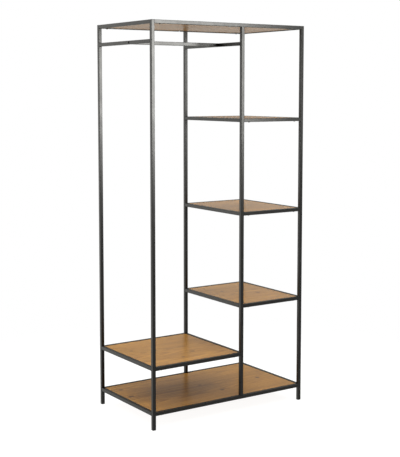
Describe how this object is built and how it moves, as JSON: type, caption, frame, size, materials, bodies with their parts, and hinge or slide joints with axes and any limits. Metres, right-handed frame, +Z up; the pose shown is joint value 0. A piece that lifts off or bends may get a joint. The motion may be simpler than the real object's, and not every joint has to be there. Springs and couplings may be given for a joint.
{
  "type": "clothes rack",
  "caption": "Open clothes rack of square steel tube with oak-faced boards: a hanging bay with a rail and a low shelf beside a column of open shelves, on short legs.",
  "frame": {"origin": "on the floor under the middle of the rack's width and depth", "axes": "+Z up; +X to the right seen from the front, from the hanging bay towards the shelves; +Y from front to back"},
  "size_m": [0.84, 0.486, 1.8],
  "materials": {
    "powder_coated_steel": "satin black powder coat on square steel tube and sheet",
    "oak_board": "matt oak with knots, grain along the width",
    "black_plastic": "moulded, fine matt grain",
    "blackened_steel": "blackened steel screws and bolts",
    "zinc_plated_steel": "bright zinc plate"
  },
  "bodies": {
    "root": {"front_left_post": "powder_coated_steel", "front_left_foot_glide": "black_plastic", "front_left_post_cap": "black_plastic", "front_middle_post": "powder_coated_steel", "front_right_post": "powder_coated_steel", "front_right_foot_glide": "black_plastic", "front_right_post_cap": "black_plastic", "back_left_post": "powder_coated_steel", "back_left_foot_glide": "black_plastic", "back_left_post_cap": "black_plastic", "back_middle_post": "powder_coated_steel", "back_right_post": "powder_coated_steel", "back_right_foot_glide": "black_plastic", "back_right_post_cap": "black_plastic", "top_front_bar": "powder_coated_steel", "top_back_bar": "powder_coated_steel", "top_left_bar": "powder_coated_steel", "top_right_bar": "powder_coated_steel", "top_support_tabs": "powder_coated_steel", "top_board": "oak_board", "upper_shelf_front_bar": "powder_coated_steel", "upper_shelf_back_bar": "powder_coated_steel", "upper_shelf_left_bar": "powder_coated_steel", "upper_shelf_right_bar": "powder_coated_steel", "upper_shelf_support_tabs": "powder_coated_steel", "upper_shelf_board": "oak_board", "centre_shelf_front_bar": "powder_coated_steel", "centre_shelf_back_bar": "powder_coated_steel", "centre_shelf_left_bar": "powder_coated_steel", "centre_shelf_right_bar": "powder_coated_steel", "centre_shelf_support_tabs": "powder_coated_steel", "centre_shelf_board": "oak_board", "lower_shelf_front_bar": "powder_coated_steel", "lower_shelf_back_bar": "powder_coated_steel", "lower_shelf_left_bar": "powder_coated_steel", "lower_shelf_right_bar": "powder_coated_steel", "lower_shelf_support_tabs": "powder_coated_steel", "lower_shelf_board": "oak_board", "left_shelf_front_bar": "powder_coated_steel", "left_shelf_back_bar": "powder_coated_steel", "left_shelf_left_bar": "powder_coated_steel", "left_shelf_right_bar": "powder_coated_steel", "left_shelf_support_tabs": "powder_coated_steel", "left_shelf_board": "oak_board", "bottom_front_bar": "powder_coated_steel", "bottom_back_bar": "powder_coated_steel", "bottom_left_bar": "powder_coated_steel", "bottom_right_bar": "powder_coated_steel", "bottom_support_tabs": "powder_coated_steel", "bottom_board": "oak_board", "left_hanger_bar": "powder_coated_steel", "middle_hanger_bar": "powder_coated_steel", "hanging_rail": "powder_coated_steel", "bar_spigots": "powder_coated_steel", "post_spigots": "powder_coated_steel", "locking_screws": "blackened_steel", "board_screws": "zinc_plated_steel", "rail_bolts": "blackened_steel", "rail_nuts": "zinc_plated_steel"}
  },
  "joints": []
}
